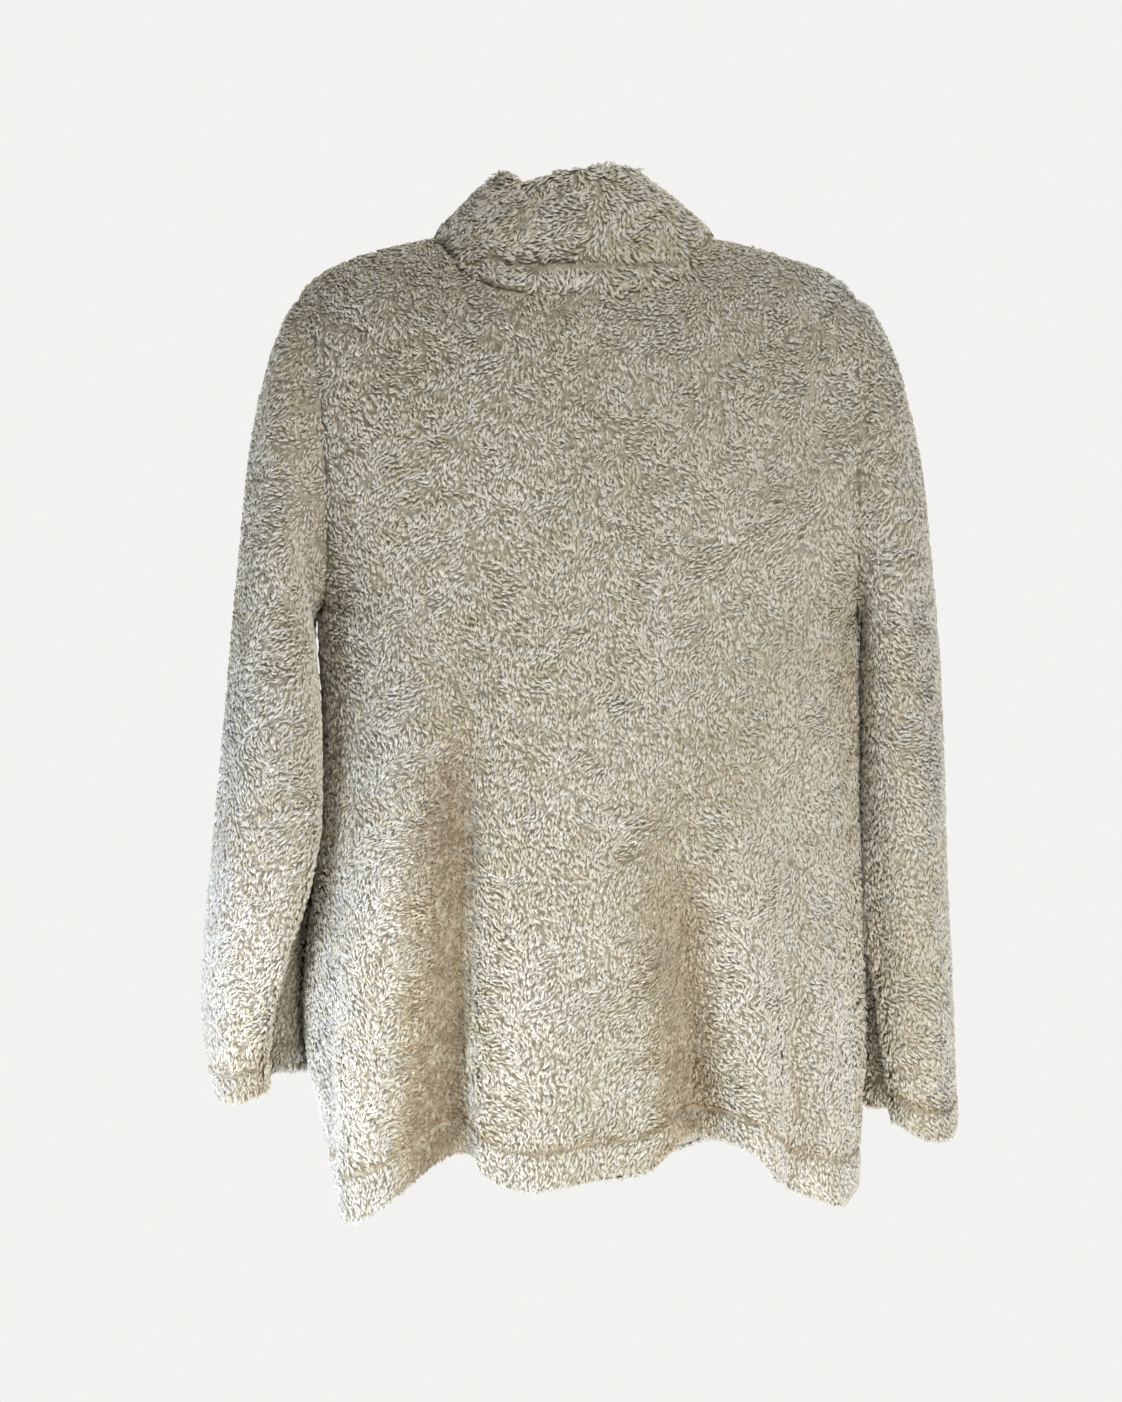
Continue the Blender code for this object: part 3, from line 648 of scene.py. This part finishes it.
# -------------------------------------------------------------------------------------------------
# The front of the body: the same fleece, cut with a lower neck and no opening, joined to the back at
# the sides and shoulders. Its hem is turned up and stitched in one run with the back's.
# -------------------------------------------------------------------------------------------------
FRONT_HEM = [
    (-202, -673), (-170, -676), (-116, -644), (-56, -658), (8, -643), (64, -657), (126, -645),
    (155, -676), (176, -678),
]
FRONT_FOLDS = [
    Fold(152, -400, 152, 30, 16),
    Fold(116, -290, 125, 26, -22),
    Fold(58, -260, 66, 32, 9),
    Fold(4, -350, 9, 28, -19),
    Fold(-50, -300, -58, 34, 11),
    Fold(-108, -280, -117, 26, -22),
    Fold(-160, -390, -164, 26, 14),
]
outside, inside = body_cloth(False, FRONT_HEM, FRONT_FOLDS)
front_cloth = cloth_piece("front_cloth", outside, inside, False, "front_panel")
front_pile = body_pile("front_pile", outside, inside, FRONT_FOLDS, "front_panel", 11)
front_stitches = stitch_row("front_hem_stitches", outside[:, ::-1], BODY_ABOVE_HEM, False, "front_panel")

# -------------------------------------------------------------------------------------------------
# The sleeves: one piece of fleece each, closed by a seam under the arm and set to the dropped armhole.
# They hang beside the body, and each cuff is turned up 25 mm, stitched, and folded in on itself.
# -------------------------------------------------------------------------------------------------
# A ring has an outer point, the sleeve's top, and an inner one. lap pushes its back inner corner in.
Ring = namedtuple("Ring", "along out_x out_z in_x in_z mid_y depth lap")
LEFT_SLEEVE = [
    Ring(0.00, 203, -28, 190, -258, 2, 56, 0),
    Ring(0.04, 212, -40, 194, -263, 3, 60, 0),
    Ring(0.09, 222, -65, 194, -270, 4, 64, 0),
    Ring(0.16, 231, -98, 194, -281, 6, 67, 4),
    Ring(0.24, 239, -143, 193, -298, 8, 69, 7),
    Ring(0.34, 245, -204, 191, -326, 10, 70, 9),
    Ring(0.46, 252, -280, 190, -364, 12, 69, 11),
    Ring(0.58, 259, -360, 191, -410, 14, 67, 12),
    Ring(0.70, 266, -436, 194, -458, 14, 64, 11),
    Ring(0.82, 273, -508, 200, -510, 10, 60, 6),
    Ring(0.92, 273, -554, 203, -552, 4, 56, 2),
    Ring(1.00, 266, -591, 203, -588, 0, 54, 0),
]
RIGHT_SLEEVE = [
    Ring(0.00, 200, -28, 202, -258, 2, 56, 0),
    Ring(0.04, 211, -36, 206, -263, 1, 61, 0),
    Ring(0.09, 225, -62, 206.5, -270, 0, 66, 0),
    Ring(0.16, 237, -102, 206.5, -282, -2, 69, 0),
    Ring(0.24, 247, -147, 206, -300, -3, 71, 0),
    Ring(0.34, 253.5, -205, 206, -330, -4, 72, 0),
    Ring(0.46, 260, -279, 206, -372, -5, 71, 0),
    Ring(0.58, 264, -359, 206, -418, -5, 69, 0),
    Ring(0.70, 266, -440, 207, -468, -5, 66, 0),
    Ring(0.82, 270, -522, 208, -526, -4, 63, 0),
    Ring(0.92, 272, -582, 209, -578, -3, 60, 0),
    Ring(1.00, 274, -618, 211, -615, -2, 58, 0),
]

# A crease lies at turn degrees round the ring, where 90 is the back and 180 the inner side.
Crease = namedtuple("Crease", "turn drift start end width height")
LEFT_CREASES = [
    Crease(176, -72, 0.60, 1.24, 42, -46),
    Crease(60, 0, 0.50, 1.30, 34, 6),
    Crease(285, 10, 0.30, 1.20, 26, -9),
    Crease(230, 0, 0.20, 0.90, 26, 5),
]
RIGHT_CREASES = [
    Crease(174, -60, 0.76, 1.35, 40, -36),
    Crease(55, 0, 0.40, 1.30, 32, 5),
    Crease(280, -8, 0.35, 1.20, 26, -9),
    Crease(225, 0, 0.25, 0.95, 24, 5),
]
CUFF_DROP = 19.0  # the cuff hangs lower towards the back
CUFF_DROP_TURN = 63.0
CUFF_FADE = 0.25
SLEEVE_LENGTH = 560.0
SLEEVE_COLUMNS = 56
SEAM_GAP = 0.3


def sleeve_face(along, turn, rings, creases, side):
    """The outside of a sleeve, in mm.

    A ring is an oval whose long axis runs from its outer to its inner point: their middle plus half their
    distance times the cosine, and its depth times the sine. Rings start upright in the armhole and end
    level at the cuff. Each crease moves the face towards the ring's middle or away from it.
    """
    along, turn = np.meshgrid(along, turn, indexing="ij")
    top = np.stack([read(rings, "out_x", along), read(rings, "out_z", along)])
    low = np.stack([read(rings, "in_x", along), read(rings, "in_z", along)])
    middle, half = (top + low) / 2, (top - low) / 2
    cosine, sine = np.cos(turn), np.sin(turn)
    armhole = np.where(sine > 0, ARMHOLE_DEPTH[True], ARMHOLE_DEPTH[False])
    start = np.clip(1 - along / rings[1].along, 0, 1)
    depth = read(rings, "depth", along) * (1 - start) + armhole * start
    mid_y = read(rings, "mid_y", along) * (1 - start)
    x, z = middle + half * cosine
    name = "left" if side > 0 else "right"
    x = x - start * np.abs(sine) * np.where(sine > 0, CUT_IN[name][True], CUT_IN[name][False])
    y = mid_y + depth * sine
    x = x - read(rings, "lap", along) * bump((np.degrees(turn) - 125) / 60)
    dip = ramp((along - 1 + CUFF_FADE) / CUFF_FADE) * bump((np.degrees(turn) - CUFF_DROP_TURN) / 100)
    z = z - CUFF_DROP * dip
    inward = np.stack([-(x - middle[0]), mid_y - y], axis=0)
    inward = inward / np.linalg.norm(inward, axis=0)
    moved = np.zeros_like(x)
    for crease in creases:
        share = (along - crease.start) / (crease.end - crease.start)
        at = crease.turn + crease.drift * np.clip(share, 0, 1)
        moved += crease.height * np.sin(np.pi * np.clip(share, 0, 1)) * bump(
            ((np.degrees(turn) - at + 180) % 360 - 180) / crease.width)
    x, y = x - inward[0] * moved, y - inward[1] * moved
    return np.stack([side * x, y, z], axis=2)


CUFF_TOP = 1 - HEM_DEPTH / SLEEVE_LENGTH
CUFF_END = CUFF_TOP - HEM_STEP / SLEEVE_LENGTH
SLEEVE_ALONG = np.concatenate([
    np.linspace(0, 0.24, 18) ** 1.3 / 0.24 ** 0.3,
    np.linspace(0.25, CUFF_END - 0.01, 44),
    np.linspace(CUFF_END, 1, 8),
])
ABOVE_CUFF = (1 - SLEEVE_ALONG) * SLEEVE_LENGTH


def sleeve_cloth(rings, creases, side):
    """Outside and inside grids of a sleeve, in metres. The inside follows the outside's normals, and the
    turned cuff doubles the cloth."""
    along = SLEEVE_ALONG
    turn = np.linspace(0, 2 * np.pi, SLEEVE_COLUMNS, endpoint=False)
    outside = sleeve_face(along, turn, rings, creases, side)
    wrapped = np.concatenate([outside[:, -1:], outside, outside[:, :1]], axis=1)
    into = -faces_out(wrapped)[:, 1:-1] * side
    into[0] = np.stack([0 * turn, -np.sin(turn), -np.cos(turn)], axis=1)
    outside[0, :, 0] += side * SEAM_GAP
    cloth = CLOTH + (HEM_CLOTH - CLOTH) * ramp((along - CUFF_END) / (CUFF_TOP - CUFF_END))
    groove = STITCH_GROOVE * bump((ABOVE_CUFF - HEM_DEPTH) / GROOVE_WIDTH)
    inside = outside + into * cloth[:, None, None]
    return (outside + into * groove[:, None, None]) * MM, inside * MM


def sleeve_pile(name, outside, inside, side, node, seed):
    """The pile of a sleeve, turned round the cuff's edge. It combs down, and outwards near the outer side."""
    round_cuff = (outside[-1] + inside[-1]) / 2 - (0, 0, EDGE_ROUND)
    under = [round_cuff[None], (inside[-1] * 0.9 + outside[-1] * 0.1)[None], inside[-2:-8:-2]]
    pile_grid = np.concatenate([outside, *under])
    above_edge = np.concatenate([ABOVE_CUFF, [-1, -3], -ABOVE_CUFF[-2:-8:-2] - 4])
    if side < 0:
        pile_grid = pile_grid[:, ::-1]
    at, normal, row = roots_on(pile_grid, PILE_SPACING, True, seed)
    swirl, *rest = fleece_look(at, [], seed)
    look = swirl - 0.5 * normal[:, 1] * side, *rest
    look = brushed_up(look, -normal[:, 0] * side, ramp((-at[:, 2] - 0.38) / 0.1))
    look = stitched(look, np.interp(row, np.arange(len(above_edge)), above_edge), EDGE_PILE)
    return pile_piece(name, at, normal, look, node, seed)


for sleeve_name, rings, creases, side, seed in (
    ("sleeve_left", LEFT_SLEEVE, LEFT_CREASES, 1, 20),
    ("sleeve_right", RIGHT_SLEEVE, RIGHT_CREASES, -1, 21),
):
    outside, inside = sleeve_cloth(rings, creases, side)
    sleeve_wall = cloth_piece(sleeve_name + "_cloth", outside, inside, True, sleeve_name)
    sleeve_fur = sleeve_pile(sleeve_name + "_pile", outside, inside, side, sleeve_name, seed)
    upward, around = (slice(None, None, -1), slice(None, None, -1 if side > 0 else 1))
    from_cuff = outside[upward, around]
    cuff_stitches = stitch_row(sleeve_name + "_stitches", from_cuff, ABOVE_CUFF[::-1], True, sleeve_name)

# -------------------------------------------------------------------------------------------------
# The collar: one band of fleece folded double, with pile on both faces, joined to the neckline. It
# stands up, leans in to its top edge, and rolls softly over the neck seam at the back.
# -------------------------------------------------------------------------------------------------
COLLAR_CLOTH = 7.0
COLLAR_ROWS, HALF_COLUMNS = 22, 45
CREASE_AT, CREASE_BEND = 0.25, 0.10  # the crease's share of the way up, and how much lower it is at the sides
CREASE_DEPTH, ROLL = 1.6, 1.2
RIM_ROUND = 0.0018
Band = namedtuple("Band", "up left right side_z back_z back_y front_z front_y sag")
COLLAR = [
    Band(0.00, 104, 95, 16, -29, 77, -74, -98, 4.0),
    Band(0.14, 102, 93, 20, -17, 77, -61, -100, 3.2),
    Band(0.27, 97, 89, 26, -5, 70, -50, -100, 2.7),
    Band(0.50, 88, 77, 35, 15, 70, -26, -102, 2.3),
    Band(0.75, 77, 65, 45, 37, 62, 0, -103, 2.0),
    Band(1.00, 63, 49, 53, 58, 53, 27, -103, 2.0),
]
# Height of the top edge above its smooth line, by degrees round from the left side through the back.
RIM_WAVE = [
    (0, 0), (30, 7), (54, -4), (77, 1), (109, 6), (138, 8), (160, 4), (180, 0), (230, 2), (270, -4), (310, 2),
    (360, 0),
]


def collar_cloth():
    """Outside and inside grids of the collar, in metres: each row is an oval from the band's table, and
    its top edge waves. At the back the base rolls out 1.2 mm below a crease 1.6 mm deep."""
    up = np.linspace(0, 1, COLLAR_ROWS)
    half = np.linspace(-1, 1, HALF_COLUMNS)
    half = (half - EVEN * np.sin(np.pi * half)) * np.pi / 2
    turn = np.concatenate([half, half[1:-1] + np.pi])
    over, round_neck = np.meshgrid(up, turn, indexing="ij")
    sine, cosine = np.sin(round_neck), np.cos(round_neck)
    edge_x = np.where(sine >= 0, read(COLLAR, "left", over), read(COLLAR, "right", over))
    centre_y = np.where(cosine >= 0, read(COLLAR, "back_y", over), -read(COLLAR, "front_y", over))
    centre_z = np.where(cosine >= 0, read(COLLAR, "back_z", over), read(COLLAR, "front_z", over))
    z = centre_z + (read(COLLAR, "side_z", over) - centre_z) * np.abs(sine) ** read(COLLAR, "sag", over)
    wave = flowing((90 - np.degrees(round_neck)) % 360, *zip(*RIM_WAVE))
    outside = np.stack([edge_x * sine, centre_y * cosine, z + wave * over ** 2], axis=2)
    crease = over - CREASE_AT + CREASE_BEND * (edge_x * sine / 67) ** 2
    roll = (ROLL * bump((crease + 0.12) / 0.12) - CREASE_DEPTH * bump(crease / 0.055)) * ramp(cosine * 2)
    outside[..., 1] += roll
    wrapped = np.concatenate([outside[:, -1:], outside, outside[:, :1]], axis=1)
    into = -faces_out(wrapped)[:, 1:-1]
    in_front = np.where(np.cos(turn) >= 0, 1, -1)
    base_turn = np.where(np.cos(turn) >= 0, turn, np.pi - turn)
    into[0] = neck_mitre(base_turn) * np.stack([0 * turn + 1, in_front, 0 * turn + 1], axis=1)
    outside[0, :, 2] += SEAM_GAP
    cloth = CLOTH + (COLLAR_CLOTH - CLOTH) * ramp(up / 0.14)
    return outside * MM, (outside + into * cloth[:, None, None]) * MM


outside, inside = collar_cloth()
collar_band = cloth_piece("collar_cloth", outside, inside, True, "collar")
collar_top = (outside[-1] + inside[-1]) / 2 + (0, 0, RIM_ROUND)
both_faces = np.concatenate([outside, collar_top[None], inside[::-1]])
at, normal, row = roots_on(both_faces, PILE_SPACING, True, 30)
swirl, tint, sink, size = fleece_look(at, [], 30)
# The collar's pile is brushed away from its middle to both sides, in longer locks, and is parted along
# the seam and along the crease where the collar rolls over, with painted shade darkening its tint there.
from_middle = np.tanh(at[:, 0] / 0.035) * np.sign(normal[:, 1])
swirl = 0.6 * swirl - 1.25 * from_middle + 0.9 * soft_noise(at, 0.03, 31)
up = row / (len(outside) - 1)
crease = up - CREASE_AT + CREASE_BEND * (at[:, 0] / 0.067) ** 2 + 0.012 * soft_noise(at, 0.04, 32)
parted = np.maximum(0.75 * bump(up / 0.03), bump(crease / 0.038) * ramp(normal[:, 1] * 2))
# Painted shade darkens the tint along the seam and the crease where the pile parts.
collar_look = swirl, tint - 0.15 * parted, np.minimum(sink + parted, 1), size * (1.3 - 0.4 * parted)
collar_pile = pile_piece("collar_pile", at, normal, collar_look, "collar", 30)

# -------------------------------------------------------------------------------------------------
# The room: a plain pale floor far below the hem, and soft lights low behind the back, at both sides,
# above, and before the front. Two narrow beams reach the fold and the cuff low on the wearer's left.
# -------------------------------------------------------------------------------------------------
FLOOR_Z, FLOOR_HALF = -2.6, 4
floor_mesh = bpy.data.meshes.new("floor")
floor_corners = [(x * FLOOR_HALF, y * FLOOR_HALF, FLOOR_Z) for x, y in ((-1, -1), (1, -1), (1, 1), (-1, 1))]
floor_mesh.from_pydata(floor_corners, [], [(0, 1, 2, 3)])
floor = bpy.data.objects.new("floor", floor_mesh)
bpy.context.scene.collection.objects.link(floor)
# Matt paint with a faint glow of its own, as pale as the room, so that no edge of it shows. It sends no
# light up into the pile.
floor_paint, tree, shader = new_material("pale_matt_floor")
shader.inputs["Base Color"].default_value = linear("#f0efed")
shader.inputs["Roughness"].default_value = 0.9
shader.inputs["Emission Color"].default_value = linear("#f3f2f0")
shader.inputs["Emission Strength"].default_value = 0.85
floor_mesh.materials.append(floor_paint)
floor.visible_diffuse = False

world = bpy.data.worlds.new("pale_room")
bpy.context.scene.world = world
world.use_nodes = True
tree = world.node_tree
tree.nodes.clear()
light_path = add(tree, "ShaderNodeLightPath")
seen = add(tree, "ShaderNodeBackground", {"Color": linear("#f3f2f0"), "Strength": 1.0})
glow = add(tree, "ShaderNodeBackground", {"Color": linear("#e9eef6"), "Strength": 0.045})
to_camera = light_path.outputs["Is Camera Ray"]
room = add(tree, "ShaderNodeMixShader", _0=to_camera, _1=glow.outputs[0], _2=seen.outputs[0])
add(tree, "ShaderNodeOutputWorld", _0=room.outputs[0])


def soft_light(name, place, aim, size, power, colour, spread=180):
    """A square area light at place that faces aim, of that size in metres and power in watts. Its light
    spreads over that angle, and it isn't seen itself."""
    lamp = bpy.data.lights.new(name, "AREA")
    lamp.spread = np.radians(spread)
    lamp.size, lamp.energy, lamp.color = size, power, linear(colour)[:3]
    piece = bpy.data.objects.new(name, lamp)
    bpy.context.scene.collection.objects.link(piece)
    way = np.array(aim, float) - place
    piece.location = place
    piece.visible_camera = False
    turn_z = np.arctan2(way[1], way[0]) - np.pi / 2
    tilt = np.arccos(-way[2] / np.linalg.norm(way))
    piece.rotation_euler = (tilt, 0, turn_z)


soft_light("low_left", (0.8, 0.5, -1.25), (0.15, 0.0, -0.6), 0.35, 9.4, "#e4f0ff")
soft_light("low_middle", (-0.4, 1.0, -1.2), (0.0, 0.0, -0.6), 0.5, 13.0, "#fffaf4")
soft_light("left_side", (1.6, 0.15, -0.8), (0.2, 0.0, -0.5), 0.6, 10.4, "#fbfaff")
soft_light("right_side", (-1.6, 0.6, -0.9), (-0.1, 0.0, -0.5), 0.6, 6.2, "#d2e6ff")
soft_light("top_fill", (-0.4, 1.2, 1.3), (0, 0, -0.1), 1.2, 24, "#fffefc")
soft_light("front_fill", (-0.8, -2.0, 0.4), (0, 0, -0.3), 1.4, 60, "#fffdf9")
soft_light("front_low", (0.9, -1.8, -0.8), (0, 0, -0.4), 0.8, 26, "#f6f8ff")
soft_light("fold_beam", (0.8, 0.75, -0.75), (0.17, 0.09, -0.56), 0.12, 0.09, "#fff8ea", 22)
soft_light("cuff_beam", (1.1, 0.6, -0.9), (0.262, 0.0, -0.50), 0.15, 0.15, "#a4c2ff", 22)

# A long lens level with the middle of the back, whose view is 1.0094 m high at 3.95 m.
SENSOR_HEIGHT, VIEW_DISTANCE, VIEW_HEIGHT = 24, 3.95, 1.0094
camera = bpy.data.cameras.new("camera")
camera.sensor_fit, camera.sensor_height = "VERTICAL", SENSOR_HEIGHT
camera.lens = SENSOR_HEIGHT * VIEW_DISTANCE / VIEW_HEIGHT
camera_piece = bpy.data.objects.new("camera", camera)
bpy.context.scene.collection.objects.link(camera_piece)
camera_piece.location = (0.0137, 4.0, -0.321)
camera_piece.rotation_euler = (np.pi / 2, 0, np.pi)
bpy.context.scene.camera = camera_piece
bpy.context.scene.view_settings.view_transform = "Standard"
